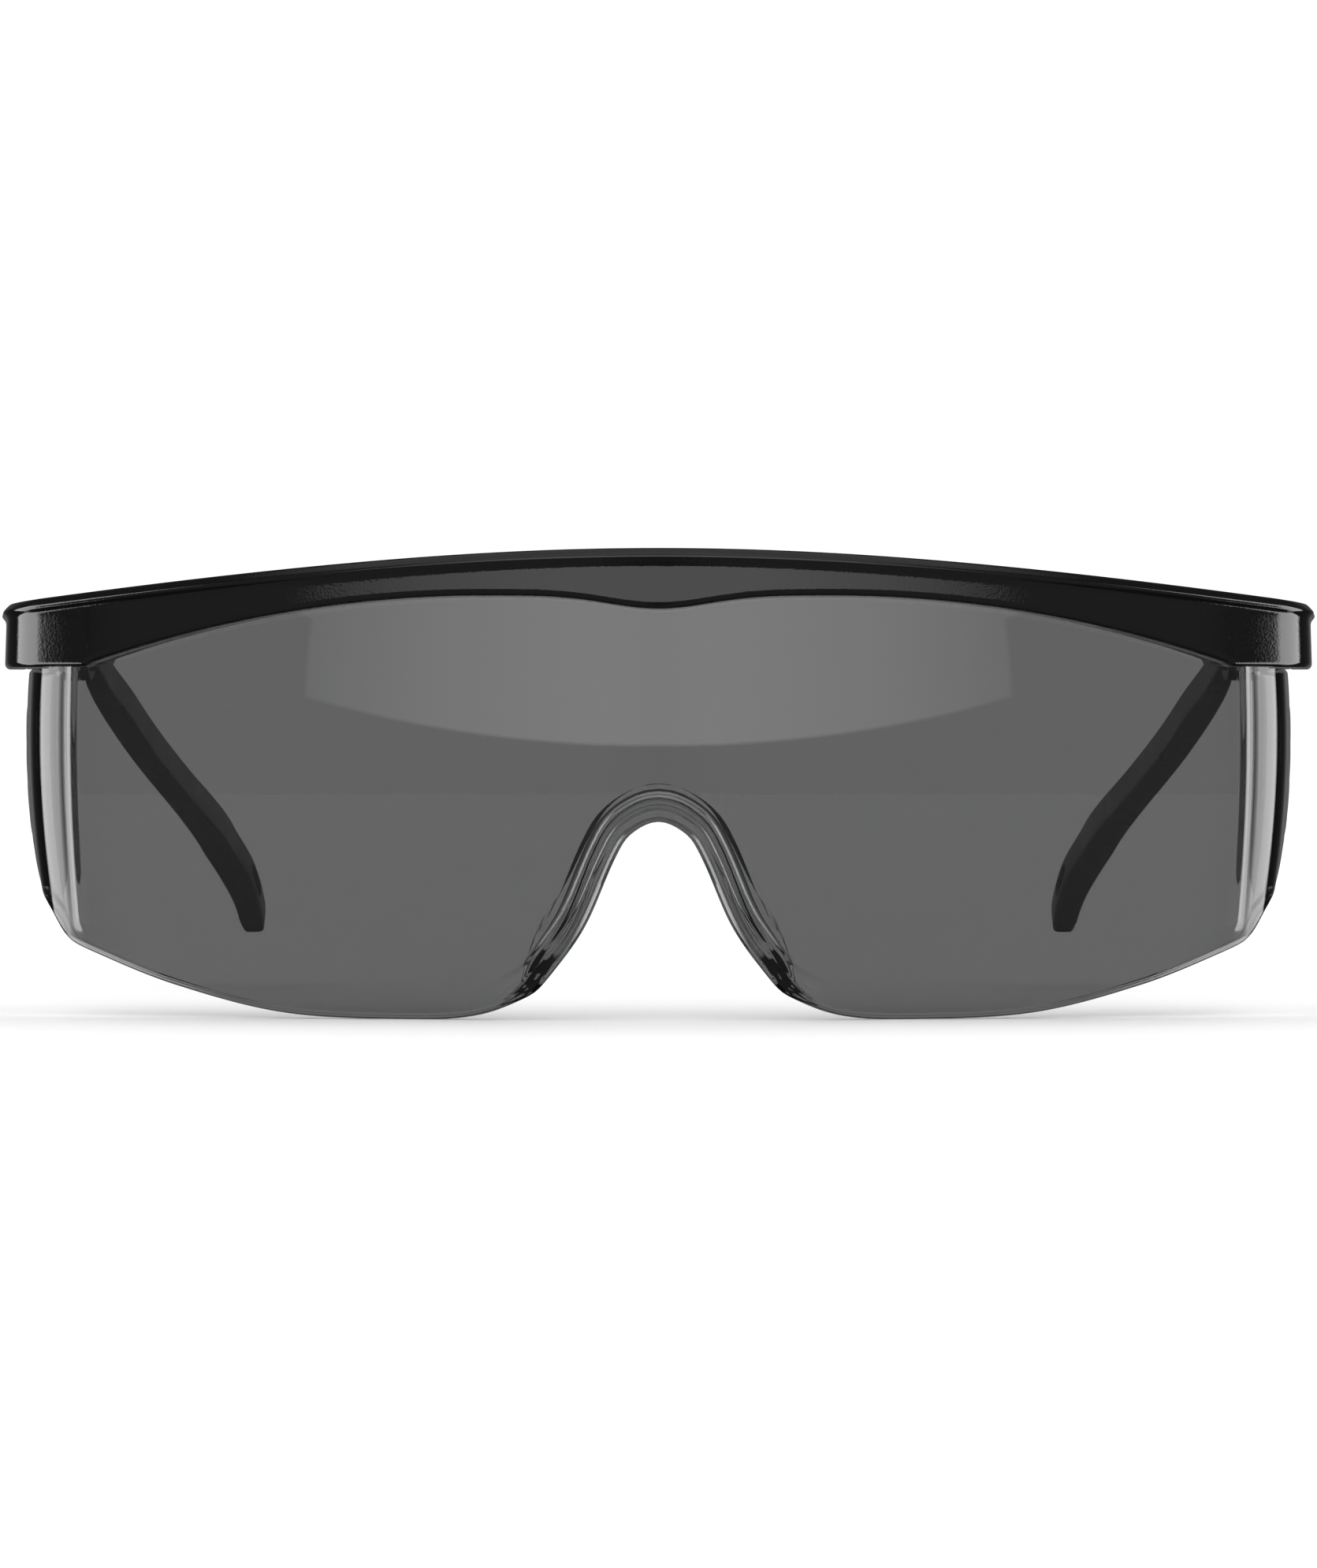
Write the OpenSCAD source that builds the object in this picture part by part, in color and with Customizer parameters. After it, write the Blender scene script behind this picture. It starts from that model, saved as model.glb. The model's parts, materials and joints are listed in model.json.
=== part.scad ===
// Wrap-around safety glasses: a one-piece lens with side shields and a moulded nose saddle,
// a brow bar that holds it, and two temples that fold inwards and tilt on a three-step ratchet.
// Millimetres. +X is the wearer's left, +Y runs back along the temples, +Z is up.
// The origin is under the middle of the glasses, level with the lowest edge of the lens.

/* [Lens] */
// Radius of the lens face, seen from above
face_r = 150; // [140:1:165]
// Radius of the lens face, seen from the side
side_r = 112; // [100:1:125]
// Wall of the lens
lens_wall = 2.2; // [2:0.1:2.4]
// Half width at which the face turns into the side shield
corner_x = 68.2; // [67.8:0.1:68.5]
// Radius of that corner
corner_r = 7.3; // [7:0.1:7.6]
// Straight length of the side shield behind the corner
shield_len = 30; // [28:0.5:32]
// Angle by which the side shield flares outwards
shield_flare = 6; // [5.6:0.1:6.6]
// Depth of the nose saddle behind the lens
saddle_d = 7; // [5:0.5:8]
// Wall of the nose saddle
saddle_wall = 1.6; // [1.4:0.1:2]

/* [Brow bar] */
// Height of the brow bar's top edge in the middle
brow_top = 52.85; // [52:0.05:54]
// Height of the brow bar's bottom edge, where it is highest
brow_low = 47.55; // [47:0.05:48]
// Height of the end block's underside
block_z = 39.85; // [39.5:0.05:40]
// Depth of the slot that takes the lens's top edge
slot_d = 3.1; // [2.8:0.1:3.3]
// Depth of the brow bar from front to back
brow_d = 6.3; // [6:0.1:6.8]
// Distance that the brow bar stands in front of the lens face
brow_proud = 0.9; // [0.8:0.1:1.2]

/* [Hinges] */
// Sideways place of the fold axis
hinge_x = 69.2; // [69:0.1:69.4]
// Distance of the fold axis behind the front
hinge_y = 34; // [33.5:0.1:34.5]
// Radius of the steel hinge pin
pin_r = 0.8; // [0.7:0.05:0.9]
// Radius of the hinge knuckle
knuckle_r = 2.5; // [2.3:0.1:2.6]
// Distance from the fold axis to the tilt axis
tilt_y = 8.5; // [8.2:0.1:9]
// Height of the tilt axis
tilt_z = 41.9; // [41.7:0.1:42.1]
// Radius of the ratchet eyes
eye_r = 3.3; // [3.1:0.1:3.4]
// Number of ratchet teeth in a full turn
teeth = 36; // [24:6:36]
// Radius of the tilt screw's shank
screw_r = 1; // [0.9:0.05:1.1]

/* [Temples] */
// Angle by which the temples lean inwards
toe_in = 5.46; // [5:0.1:6]
// Distance from the fold axis to the end of the temple
temple_len = 122.4; // [120:0.1:126]
// Height of the bar of the temple
bar_h = 3.7; // [3.5:0.1:4]

/* [Hidden] */
$fn = 48;

half_depth = 77.7;          // the front of the brow bar is this far in front of the origin
run_gap = 0.05;             // radial clearance of a turning fit
press_gap = -0.01;          // radial interference of a press fit
slot_gap = 0.08;            // clearance on each face of the lens in its slot
side_z = 32;                // height at which the lens bulges most
deg = 180 / PI;

// Curve through the points p, bend by bend: chord-length Hermite, level at its first point
function knot(p, i) = i == 0 ? 0 : knot(p, i - 1) + norm(p[i] - p[i - 1]);
function slope(p, i) = i == 0 ? [1, 0]
    : i == len(p) - 1 ? (p[i] - p[i - 1]) / norm(p[i] - p[i - 1])
    : (p[i + 1] - p[i - 1]) / (norm(p[i + 1] - p[i]) + norm(p[i] - p[i - 1]));
function bend(p, i, t) = let (h = norm(p[i + 1] - p[i]), a = t * t, b = a * t)
    (2 * b - 3 * a + 1) * p[i] + (b - 2 * a + t) * h * slope(p, i)
    + (3 * a - 2 * b) * p[i + 1] + (b - a) * h * slope(p, i + 1);
function curve_at(p, s, i = 0) = i == len(p) - 2 || s < knot(p, i + 1)
    ? bend(p, i, (s - knot(p, i)) / norm(p[i + 1] - p[i])) : curve_at(p, s, i + 1);
function mix(a, b, t) = a * (1 - t) + b * t;
function ease(t) = let (c = min(1, max(0, t))) c * c * (3 - 2 * c);

// Closed skin over a list of rings that all have the same even number of points
module skin(rings) {
    n = len(rings[0]);
    last = len(rings) - 1;
    wall = [for (i = [0:last - 1], j = [0:n - 1]) let (a = i * n + j, b = i * n + (j + 1) % n)
        each [[a, b, b + n], [a, b + n, a + n]]];
    first_cap = [for (j = [0:n / 2 - 2]) each [[j, n - 1 - j, n - 2 - j], [j, n - 2 - j, j + 1]]];
    last_cap = [for (f = first_cap) [f[0] + last * n, f[2] + last * n, f[1] + last * n]];
    polyhedron(points = [for (r = rings) each r], faces = concat(wall, first_cap, last_cap), convexity = 6);
}

// Plan of the lens face: u is the distance along it from the middle
a_corner = asin(corner_x / face_r);
a_side = 90 - shield_flare;
u_corner = face_r * a_corner / deg;
u_side = u_corner + corner_r * (a_side - a_corner) / deg;
u_rear = u_side + shield_len;
corner_at = [corner_x, brow_proud + face_r * (1 - cos(a_corner))];
side_at = corner_at + corner_r * [sin(a_side) - sin(a_corner), cos(a_corner) - cos(a_side)];
function heading(u) = u < u_corner ? u / face_r * deg
    : u < u_side ? a_corner + (u - u_corner) / corner_r * deg : a_side;
function plan_at(u) = let (h = heading(u))
    u < u_corner ? [face_r * sin(h), brow_proud + face_r * (1 - cos(h))]
    : u < u_side ? corner_at + corner_r * [sin(h) - sin(a_corner), cos(a_corner) - cos(h)]
    : side_at + (u - u_side) * [cos(h), sin(h)];
function plan_in(u, d) = let (h = heading(abs(u)), p = plan_at(abs(u)))
    [sign(u) * (p[0] - d * sin(h)), p[1] + d * cos(h) - half_depth];
function bulge(z) = pow(z - side_z, 2) / (2 * side_r);
// A point at depth d behind the face, with the bulge that belongs to height zb
function on_lens(u, z, d, zb) = let (p = plan_in(u, d + bulge(zb))) [p[0], p[1], z];

// Outlines in height
edge_level = 20;            // the brow bar's bottom edge is level out to here
edge_fall = 0.0036;         // and falls away beyond, at this rate
dip_h = 1.5;                // depth of its dip over the nose
dip_w = 8;                  // and half the dip's width
crown_w = 50;               // the top edge is crowned over this half width
crown_slope = 0.14;         // and tends to this slope beyond
block_x = 65.5;             // the end block starts here
function brow_edge(x) = brow_low - edge_fall * pow(max(0, abs(x) - edge_level), 2)
    - dip_h * exp(-pow(x / dip_w, 2));
function under_brow(x) = abs(x) > block_x ? block_z : brow_edge(x);
function over_brow(x) = brow_top - crown_slope * (sqrt(crown_w * crown_w + x * x) - crown_w);
tab_end = 70;               // the lens's tab leaves the slot here, measured along the face
ramp = 3;                   // and drops to the free edge over this length
free_z = block_z - 0.15;
root_drop = 0.3;            // the tab starts this far below the brow bar's edge
tab_gap = 0.1;              // and stops this far short of the slot's floor
rear_r = 5;                 // rounding of the side shield's upper rear corner
function tab_root(u) = mix(under_brow(plan_at(u)[0]), free_z, ease((u - tab_end) / ramp)) - root_drop;
function lens_top(u) = u > u_rear - rear_r
    ? free_z - rear_r + sqrt(max(0, pow(rear_r, 2) - pow(u - u_rear + rear_r, 2)))
    : mix(under_brow(plan_at(u)[0]) + slot_d - tab_gap, free_z, ease((u - tab_end) / ramp));
// Lower edge, from the top of the nose arch to the rear of the side shield
lower_edge = [[0, 22.25], [3.2, 20.8], [4.9, 18.2], [8.5, 10.4], [12.7, 4.8], [15, 2.7], [21.6, 0.4],
              [31.5, 0], [45, 0.7], [58, 3.7], [67, 6.85], [72, 9.1], [75.5, 12.3], [80, 14.3],
              [90, 15.6], [98.5, 17.2], [u_rear - 2.5, 20.7], [u_rear, 27]];
lower_len = knot(lower_edge, len(lower_edge) - 1);

columns = 56;
rows = 8;
saddle_run = 18;            // the saddle keeps its depth this far along the lower edge
saddle_fade = 12;           // and fades out over this length
saddle_flare = 1.3;         // its rear rim is this much wider than its front
straight_len = 45;          // the shield's columns straighten over this length
// One ring of the lens skin, which runs down the front, round the edge and up the back
function lens_ring(i) = let (
        w = i < 0 ? -1 : 1,
        s = lower_len * abs(i) / columns,
        b = curve_at(lower_edge, s),
        step = curve_at(lower_edge, min(lower_len, s + 0.05)) - curve_at(lower_edge, max(0, s - 0.05)),
        inward = [-step[1], step[0]] / norm(step),
        ut = u_rear * abs(i) / columns,
        root = [ut, min(tab_root(ut), lens_top(ut) - root_drop)],
        curved = ease((u_rear - b[0]) / straight_len),
        third = norm(root - b) / 3,
        near = b + inward * third * curved + (root - b) / 3 * (1 - curved),
        far = root - [0, third],
        deep = saddle_d * (1 - ease((s - saddle_run) / saddle_fade)),
        nose = deep / saddle_d,
        foot = mix(0.5, saddle_wall + 0.6, nose),
        down = [for (k = [0:rows]) let (t = k / rows, v = 1 - t)
            v * v * v * root + 3 * v * v * t * far + 3 * v * t * t * near + t * t * t * b],
        up = [for (k = [0:rows]) let (t = k / rows) mix(down[k], down[k] + inward * foot * t * t, t)],
        flare = b + inward * saddle_flare * nose,
        rim = flare + inward * mix(0.25, saddle_wall, nose))
    [on_lens(w * ut, lens_top(ut), 0, root[1]),
     for (k = [0:rows]) on_lens(w * down[k][0], down[k][1], 0, down[k][1]),
     on_lens(w * flare[0], flare[1], lens_wall + deep, b[1]),
     on_lens(w * rim[0], rim[1], lens_wall + deep, b[1]),
     for (k = [rows:-1:0]) on_lens(w * up[k][0], up[k][1], lens_wall, up[k][1]),
     on_lens(w * ut, lens_top(ut), lens_wall, root[1])];

module lens() color([0.45, 0.47, 0.5, 0.5])
    skin([for (i = [columns:-1:-columns]) lens_ring(i)]);

// Brow bar
brow_r = face_r + brow_proud;
bar_x = 70.9;               // the bar's front turns into its side arm here
bar_corner_r = 8.5;
bar_side = 84;              // direction of the side arm
arm_end = 36.6;             // distance from the front to the arm's end
arm_in = 75;                // inner face of the arm at its end
block_in = [62.5, 21.6];    // where the bar's back turns into the end block
block_back = 27;            // where the block's inner face joins the hinge lug
a_bar = asin(bar_x / brow_r);
bar_corner = [bar_x, brow_r * (1 - cos(a_bar))];
bar_turn = bar_corner + bar_corner_r * [sin(bar_side) - sin(a_bar), cos(a_bar) - cos(bar_side)];
lug_r = knuckle_r + 0.4;
wall_x = hinge_x + lug_r + 0.1;
lug_gap = [block_z + 1.9, block_z + 6.1];
link_z = [lug_gap[0] + 0.1, lug_gap[1] - 0.1];
bore_h = 6.9;               // depth of the pin's bore, from the block's underside

half_bar = concat(
    [for (a = [0:a_bar / 28:a_bar + 0.01]) brow_r * [sin(a), 1 - cos(a)]],
    [for (a = [a_bar:(bar_side - a_bar) / 9:bar_side + 0.01])
        bar_corner + bar_corner_r * [sin(a) - sin(a_bar), cos(a_bar) - cos(a)]],
    [bar_turn + (arm_end - 0.8 - bar_turn[1]) * [cos(bar_side), sin(bar_side)] / sin(bar_side),
     [arm_in, arm_end], [wall_x + 0.5, arm_end], [wall_x, arm_end - 0.5], [wall_x, hinge_y]],
    [for (a = [10:17:180]) [hinge_x, hinge_y] + lug_r * [cos(a), sin(a)]],
    [[hinge_x - lug_r, hinge_y], [hinge_x - lug_r, block_back], block_in],
    [for (u = [61:-3:1]) let (h = u / face_r * deg)
        [0, brow_d] + (face_r - brow_d + brow_proud) * [sin(h), 1 - cos(h)]]);

module in_plan() translate([0, -half_depth, 0]) children();
module for_both() {
    children();
    mirror([1, 0, 0]) children();
}
module below(height, past = 0) rotate([90, 0, 0]) linear_extrude(300, center = true)
    polygon([for (x = [-90:2.5:90]) [x, height(x)], [90, past], [-90, past]]);

module brow_bar() color([0.06, 0.06, 0.065]) difference() {
    intersection() {
        in_plan() translate([0, 0, block_z]) linear_extrude(20)
            polygon(concat(half_bar, [for (i = [len(half_bar) - 1:-1:1]) [-half_bar[i][0], half_bar[i][1]]]));
        below(function (x) over_brow(x));
    }
    below(function (x) under_brow(x) - 0.001, -1);
    lens_slot();
    for_both() in_plan() {
        translate([wall_x - 12, hinge_y - lug_r - 0.1, lug_gap[0]])
            cube([12, 20, lug_gap[1] - lug_gap[0]]);
        translate([hinge_x, hinge_y, block_z - 1]) cylinder(r = pin_r + press_gap, h = bore_h + 1);
    }
}

// Slot for the lens's tab, which runs on past the end of the tab's ramp
module lens_slot() {
    stops = [for (u = [0:4:60]) u, for (u = [63:1:tab_end + ramp + 2]) u];
    count = len(stops);
    function wall(u, d) = plan_in(u, d + bulge(tab_root(abs(u))));
    function face(d) = [for (i = [1 - count:count - 1]) wall(sign(i) * stops[abs(i)], d)];
    back = face(lens_wall + slot_gap);
    intersection() {
        linear_extrude(60) polygon(concat(face(-slot_gap), [for (i = [len(back) - 1:-1:0]) back[i]]));
        below(function (x) under_brow(x) + slot_d, -1);
    }
}

// A side of the glasses; the right one is the mirror image of the left
module side(right) mirror([right ? 1 : 0, 0, 0]) translate([hinge_x, hinge_y - half_depth, 0])
    rotate([0, 0, toe_in]) children();
module across(x) translate([x, tilt_y, tilt_z]) rotate([0, 90, 0]) children();

eye_in = -2.1;              // inner face of the temple's eye
eye_out = -0.25;            // its outer face, at the root of the teeth
cheek_in = 0.4;             // inner face of the link's cheek, at the root of its teeth
cheek_out = 1.9;            // its outer face
cheek_h = 3;                // half its height at the tilt axis
cheek_root = 3.5;           // it leaves the knuckle here
throat = [5.8, -2.2];       // inner corner of its lower edge, from the fold axis and from the tilt axis
tooth_h = 0.3;
tooth_w = 0.22;
tooth_in = 1.6;             // distance from the tilt axis to the teeth's inner ends
washer_t = 0.22;
washer_gap = 0.02;          // clearance on each face of the washer
head_seat = eye_in - washer_t - 2 * washer_gap;
head_h = 0.9;
head_r = 1.9;
recess = [0.45, 2.4];       // width and length of each slot of the cross recess
nut_af = 3.2;               // across the flats
nut_h = 1.4;
nut_pocket = 0.6;           // depth of the nut's pocket in the cheek
nut_seat = cheek_out - nut_pocket + 0.02;
screw_past = 0.12;          // the screw ends this far past the nut

module hinge_pin() color("silver")
    translate([0, 0, block_z + 0.3]) cylinder(r = pin_r, h = 6.5);

module ratchet(direction) for (i = [0:teeth - 1]) rotate([0, 0, i * 360 / teeth])
    translate([tooth_in, -tooth_w / 2, direction > 0 ? -0.05 : -tooth_h])
        cube([eye_r - 0.3 - tooth_in, tooth_w, tooth_h + 0.05]);

module hinge_link() color([0.05, 0.05, 0.055]) difference() {
    union() {
        translate([0, 0, link_z[0]]) cylinder(r = knuckle_r, h = link_z[1] - link_z[0]);
        translate([cheek_in, 0, 0]) rotate([90, 0, 90]) linear_extrude(cheek_out - cheek_in)
            polygon([[0, link_z[0]], [cheek_root, link_z[0]], [throat[0], tilt_z + throat[1]],
                     [tilt_y, tilt_z - cheek_h], [tilt_y, tilt_z + cheek_h], [cheek_root, link_z[1]],
                     [0, link_z[1]]]);
        across(cheek_in) cylinder(r = eye_r, h = cheek_out - cheek_in);
        across(cheek_in) ratchet(-1);
    }
    translate([0, 0, link_z[0] - 1]) cylinder(r = pin_r + run_gap, h = 6);
    across(cheek_in - 1) cylinder(r = screw_r + run_gap, h = 4);
    across(cheek_out - nut_pocket) nut_blank(nut_af + 0.1, 2);
}

module nut_blank(af, h) cylinder(r = af / 2 / cos(30), h = h, $fn = 6);

module tilt_screw() color("silver") difference() {
    union() {
        across(head_seat) cylinder(r = screw_r, h = nut_seat + nut_h + screw_past - head_seat);
        across(head_seat - head_h) cylinder(r = head_r, h = head_h);
    }
    across(head_seat - head_h) for (turn = [0, 90])
        rotate([0, 0, turn]) cube([recess[0], recess[1], head_h], center = true);
}

module spring_washer() color("gray") across(eye_in - washer_t - washer_gap) difference() {
    cylinder(r = head_r, h = washer_t);
    translate([0, 0, -1]) cylinder(r = screw_r + 0.08, h = 3);
}

module tilt_nut() color("gold") across(nut_seat) difference() {
    nut_blank(nut_af, nut_h);
    translate([0, 0, -1]) cylinder(r = screw_r + 0.01, h = 4);
}

// Temple: side view of its middle line, as distance behind the fold axis and height
temple_line = [[tilt_y, tilt_z], [20, 39.6], [45, 33.3], [70, 27.1], [91.5, 21.9], [101, 19.2],
               [109, 16.1], [115.5, 12.4], [temple_len - 1.2, 8.1]];
line_len = knot(temple_line, len(temple_line) - 1);
stations = 40;
neck_end = [19.6, 38, 41.2];    // end of the neck behind the eye: its distance and its lower and upper height
neck_h = 2.9;               // half the neck's height at the eye
mid_x = -1.15;              // the bar's middle, beside the fold axis
bow_out = 0.5;              // the bar runs out by this much behind its neck
bow_in = 1.4;               // in again by this much along its second half
hook_in = 1.5;              // and in by this much at its end
soft = 0.45;                // 1 makes the bar's section oval, 0 makes it square
function bar_w(y) = 2.5 + 1.1 * ease((y - 12) / 25) + 0.6 * ease((y - 70) / 30) - 0.9 * ease((y - 109) / 11);
function bar_mid(y) = mid_x + bow_out * ease((y - 11) / 16) - bow_in * ease((y - 45) / 58)
    - hook_in * ease((y - 100) / 20);
function bar_dir(i) = let (s = line_len * i / stations,
        a = curve_at(temple_line, max(0, s - 0.1)), b = curve_at(temple_line, min(line_len, s + 0.1)))
    i == 0 ? [1, -0.2] / norm([1, -0.2]) : (b - a) / norm(b - a);
function bar_ring(i) = let (
        p = curve_at(temple_line, line_len * i / stations),
        d = bar_dir(i),
        tip = ease((i - stations + 1.4) / 1.4),
        w = bar_w(p[0]) / 2 * (1 - 0.22 * tip),
        h = bar_h / 2 * (1 - 0.12 * tip) * (i < 3 ? 0.8 + 0.2 * i / 3 : 1))
    [for (k = [0:15]) let (a = k * 22.5 + 11.25,
            cx = sign(cos(a)) * pow(abs(cos(a)), soft) * w, cz = sign(sin(a)) * pow(abs(sin(a)), soft) * h)
        [bar_mid(p[0]) + cx, p[0] - d[1] * cz, p[1] + d[0] * cz]];

cord_at = [113.2, 13.9];    // middle of the cord slot
cord_r = 0.9;
cord_len = 5;
cord_tilt = -32;

module temple() color([0.05, 0.05, 0.055]) difference() {
    union() {
        skin([for (i = [3:stations]) bar_ring(i)]);
        across(eye_in) cylinder(r = eye_r, h = eye_out - eye_in);
        translate([eye_in, 0, 0]) rotate([90, 0, 90]) linear_extrude(eye_out - eye_in)
            polygon([[tilt_y, tilt_z - neck_h], [neck_end[0], neck_end[1]], [neck_end[0], neck_end[2]],
                     [tilt_y, tilt_z + neck_h]]);
        across(eye_out) ratchet(1);
    }
    across(eye_in - 1) cylinder(r = screw_r + run_gap, h = 4);
    translate([-8, cord_at[0], cord_at[1]]) rotate([cord_tilt, 0, 0]) rotate([0, 90, 0]) {
        for (y = [-cord_len, cord_len] / 2) translate([0, y, 0]) cylinder(r = cord_r, h = 16);
        translate([-cord_r, -cord_len / 2, 0]) cube([2 * cord_r, cord_len, 16]);
    }
}

lens();
brow_bar();
side(false) hinge_pin();  // left_hinge_pin
side(false) hinge_link();  // left_hinge_link
side(false) tilt_screw();  // left_tilt_screw
side(false) spring_washer();  // left_spring_washer
side(false) tilt_nut();  // left_tilt_nut
side(false) temple();  // left_temple
side(true) hinge_pin();  // right_hinge_pin
side(true) hinge_link();  // right_hinge_link
side(true) tilt_screw();  // right_tilt_screw
side(true) spring_washer();  // right_spring_washer
side(true) tilt_nut();  // right_tilt_nut
side(true) temple();  // right_temple
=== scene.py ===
"""Looks of a pair of wrap-around safety glasses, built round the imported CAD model.

Meshes are worked out in millimetres in the CAD's own frame (+X wearer's left, +Y back, +Z up), and scaled
to metres when they become objects. The lens, the brow bar and the temples are fine meshes that stand for
their CAD nodes. They leave out the brow bar's slot and pin bores and the temples' ratchet teeth, which only
the CAD nodes have. The hinge hardware is the CAD's own, with bevels and materials.
"""
import json
import math

import bpy
import numpy as np
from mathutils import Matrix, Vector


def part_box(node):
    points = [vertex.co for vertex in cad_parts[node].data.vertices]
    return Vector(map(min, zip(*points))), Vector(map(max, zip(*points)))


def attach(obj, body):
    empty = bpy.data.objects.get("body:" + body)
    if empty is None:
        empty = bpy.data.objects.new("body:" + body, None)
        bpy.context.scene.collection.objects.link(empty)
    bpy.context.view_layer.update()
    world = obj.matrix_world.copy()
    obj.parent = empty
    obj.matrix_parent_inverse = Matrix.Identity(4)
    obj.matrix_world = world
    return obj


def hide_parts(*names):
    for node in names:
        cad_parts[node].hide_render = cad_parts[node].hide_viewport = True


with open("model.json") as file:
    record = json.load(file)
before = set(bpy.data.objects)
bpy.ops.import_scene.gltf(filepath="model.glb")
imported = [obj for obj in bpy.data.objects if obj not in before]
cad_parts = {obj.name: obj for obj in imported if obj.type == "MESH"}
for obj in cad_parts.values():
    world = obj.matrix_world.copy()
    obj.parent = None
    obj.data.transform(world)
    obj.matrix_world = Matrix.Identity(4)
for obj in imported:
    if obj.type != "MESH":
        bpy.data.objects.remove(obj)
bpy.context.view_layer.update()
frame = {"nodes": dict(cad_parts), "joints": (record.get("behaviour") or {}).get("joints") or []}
MM = 0.001


def box_mm(node):
    low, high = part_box(node)
    return np.array(low) / MM, np.array(high) / MM


def joint_mm(name):
    """A joint's place, in millimetres."""
    return np.array([j["pos_m"] for j in frame["joints"] if j["name"] == name][0]) / MM


BROW_LOW, BROW_HIGH = box_mm("brow_bar")
HINGE = joint_mm("left_fold")
TILT = joint_mm("left_tilt")
FRONT_Y = BROW_LOW[1]
BLOCK_Z = BROW_LOW[2]
TOE_IN = math.atan2(HINGE[0] - TILT[0], TILT[1] - HINGE[1])
TILT_REACH = math.hypot(TILT[0] - HINGE[0], TILT[1] - HINGE[1])


# ---------------------------------------------------------------- curves and meshes

def ease(t):
    t = np.clip(t, 0, 1)
    return t * t * (3 - 2 * t)


def mix(a, b, t):
    return a * (1 - t) + b * t


def bell(x, width):
    return np.exp(-(x / width) ** 2)


def curve(points, s):
    """Chord-length Hermite curve through points, level at the first one; s holds lengths along it."""
    p = np.array(points, float)
    chord = np.linalg.norm(np.diff(p, axis=0), axis=1)
    knots = np.concatenate([[0], np.cumsum(chord)])
    slopes = np.empty_like(p)
    slopes[0] = (1, 0)
    slopes[1:-1] = (p[2:] - p[:-2]) / (chord[1:] + chord[:-1])[:, None]
    slopes[-1] = (p[-1] - p[-2]) / chord[-1]
    s = np.clip(np.asarray(s, float), 0, knots[-1])
    i = np.clip(np.searchsorted(knots, s, side="right") - 1, 0, len(chord) - 1)
    h = chord[i][:, None]
    t = ((s - knots[i]) / chord[i])[:, None]
    return ((2 * t**3 - 3 * t**2 + 1) * p[i] + (t**3 - 2 * t**2 + t) * h * slopes[i]
            + (3 * t**2 - 2 * t**3) * p[i + 1] + (t**3 - t**2) * h * slopes[i + 1])


def curve_length(points):
    return np.linalg.norm(np.diff(np.array(points, float), axis=0), axis=1).sum()


def bezier(a, b, c, d, t):
    """Cubic curve from a to d at t, with b and c as its handles."""
    v = 1 - t
    return v**3 * a + 3 * v * v * t * b + 3 * v * t * t * c + t**3 * d


class PlanLine:
    """A line seen from above that leaves the centre line squarely, made of arcs whose joins are softened."""

    def __init__(self, start_y, spans, soften):
        step = 0.02
        length = sum(span for span, _ in spans)
        self.u = np.arange(0, length + step, step)
        bend = np.zeros_like(self.u)
        start = 0
        for span, radius in spans:
            bend[self.u >= start] = 1 / radius if radius else 0
            start += span
        reach = int(4 * soften / step)
        window = np.exp(-0.5 * (np.arange(-reach, reach + 1) * step / soften) ** 2)
        bend = np.convolve(np.pad(bend, reach, mode="edge"), window / window.sum(), mode="valid")
        self.heading = np.concatenate([[0], np.cumsum((bend[1:] + bend[:-1]) / 2 * step)])
        across, along = np.cos(self.heading), np.sin(self.heading)
        self.x = np.concatenate([[0], np.cumsum((across[1:] + across[:-1]) / 2 * step)])
        self.y = start_y + np.concatenate([[0], np.cumsum((along[1:] + along[:-1]) / 2 * step)])

    def at(self, u, d):
        """x and y of points at signed distance u along the line, and depth d behind it."""
        a = np.abs(u)
        h = np.interp(a, self.u, self.heading)
        x = np.interp(a, self.u, self.x) - d * np.sin(h)
        return np.sign(u) * x, np.interp(a, self.u, self.y) + d * np.cos(h)

    def x_of(self, u):
        return np.interp(np.abs(u), self.u, self.x)


def outward(points, faces):
    """The faces of a closed mesh, turned so that their normals point out of it."""
    triangles = np.array([(f[0], f[i], f[i + 1]) for f in faces for i in range(1, len(f) - 1)])
    a, b, c = points[triangles[:, 0]], points[triangles[:, 1]], points[triangles[:, 2]]
    return faces if np.einsum("ij,ij->", a, np.cross(b, c)) > 0 else [f[::-1] for f in faces]


def make_object(name, points_mm, faces, sharp_deg=40):
    """A closed mesh as an object, smooth but for its sharp edges."""
    points = np.asarray(points_mm, float)
    mesh = bpy.data.meshes.new(name)
    mesh.from_pydata((points * MM).tolist(), [], outward(points, faces))
    mesh.validate()
    mesh.shade_smooth()
    mesh.set_sharp_from_angle(angle=math.radians(sharp_deg))
    obj = bpy.data.objects.new(name, mesh)
    bpy.context.scene.collection.objects.link(obj)
    return obj


def skin_faces(rings, points):
    """Faces of a closed skin over rings of equal length, numbered ring by ring: its quads and two ends."""
    quads = [(i * points + j, i * points + (j + 1) % points,
              (i + 1) * points + (j + 1) % points, (i + 1) * points + j)
             for i in range(rings - 1) for j in range(points)]
    last = (rings - 1) * points
    return quads + [tuple(reversed(range(points))), tuple(range(last, last + points))]


def apply_boolean(obj, tool, operation):
    """Joins or cuts obj with tool, and removes the tool."""
    modifier = obj.modifiers.new("boolean", "BOOLEAN")
    modifier.operation = operation
    modifier.object = tool
    modifier.solver = "EXACT"
    bpy.context.view_layer.update()
    evaluated = obj.evaluated_get(bpy.context.evaluated_depsgraph_get())
    mesh = bpy.data.meshes.new_from_object(evaluated)
    obj.modifiers.clear()
    obj.data = mesh
    bpy.data.objects.remove(tool)


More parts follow.
